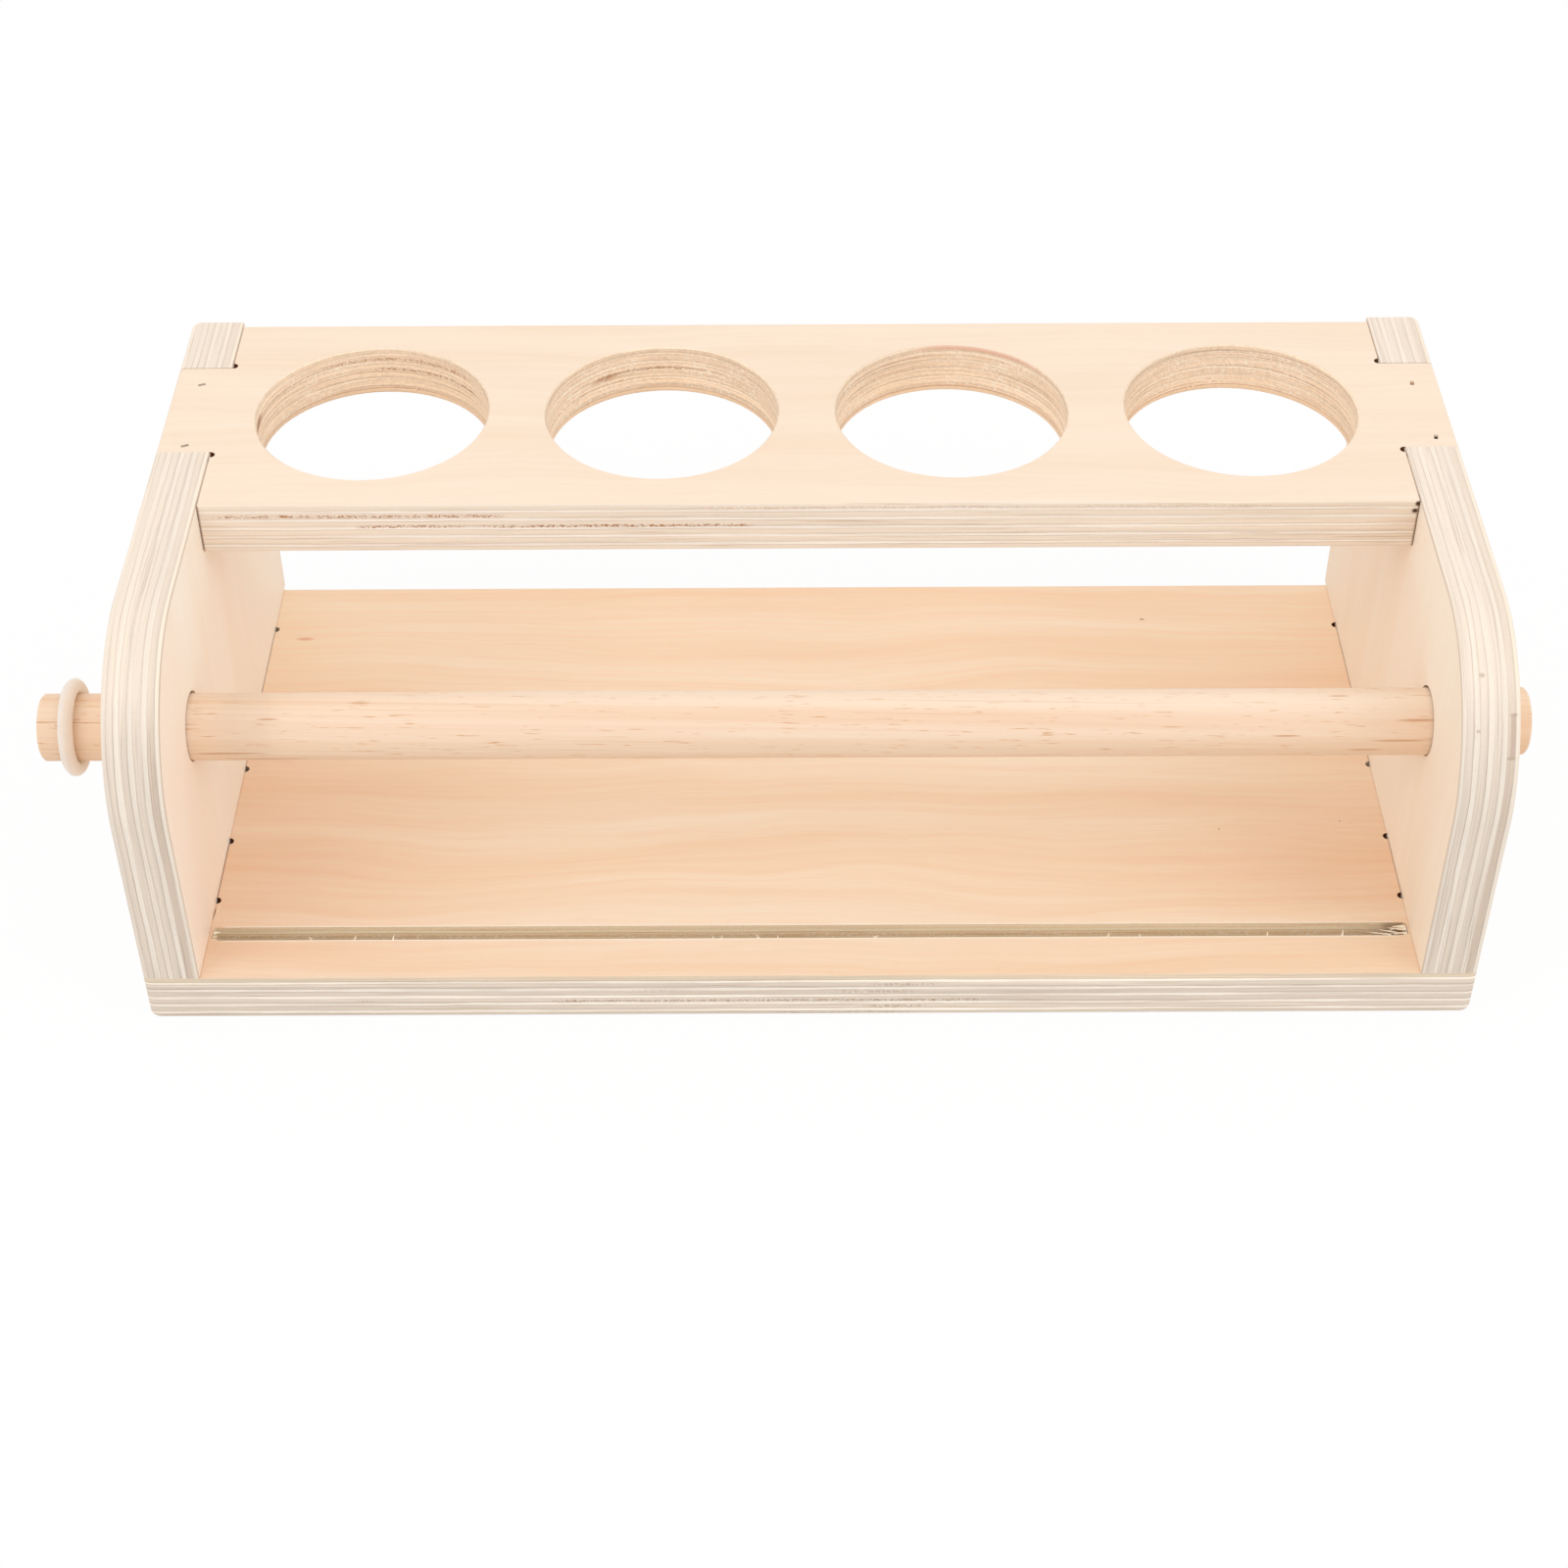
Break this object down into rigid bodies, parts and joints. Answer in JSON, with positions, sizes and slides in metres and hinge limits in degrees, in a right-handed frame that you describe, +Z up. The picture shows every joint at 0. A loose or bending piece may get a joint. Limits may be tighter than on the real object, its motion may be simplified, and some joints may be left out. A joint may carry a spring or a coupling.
{
  "type": "tabletop paper roll caddy",
  "caption": "Plywood tabletop caddy with a shelf of round cup holes over a slotted base, and a loose rod through rounded side panels that carries a paper roll.",
  "frame": {"origin": "middle of the base's underside", "axes": "+X along the rod towards its plain end, -Y towards the front where the slot is, +Z up"},
  "size_m": [0.3936, 0.1741, 0.111],
  "materials": {
    "plywood": "bare sanded veneer with banded edges",
    "pine": "bare sanded pine",
    "silicone": "milky translucent silicone",
    "brad_steel": "plain steel"
  },
  "bodies": {
    "carcass": {"base_board": "plywood", "left_side_panel": "plywood", "right_side_panel": "plywood", "cup_shelf": "plywood", "left_shelf_brads": "brad_steel", "right_shelf_brads": "brad_steel", "left_base_brads": "brad_steel", "right_base_brads": "brad_steel"},
    "ring": {"stop_ring": "silicone"},
    "rod": {"roll_dowel": "pine"}
  },
  "joints": [
    {"name": "rod_withdraw", "type": "slide", "parent": "carcass", "child": "ring", "axis": [-1, 0, 0], "range_m": [-0.014, 0.38]},
    {"name": "rod_spin", "type": "hinge", "parent": "ring", "child": "rod", "pos_m": [0, -0.046, 0.06975], "axis": [1, 0, 0], "continuous": true}
  ]
}
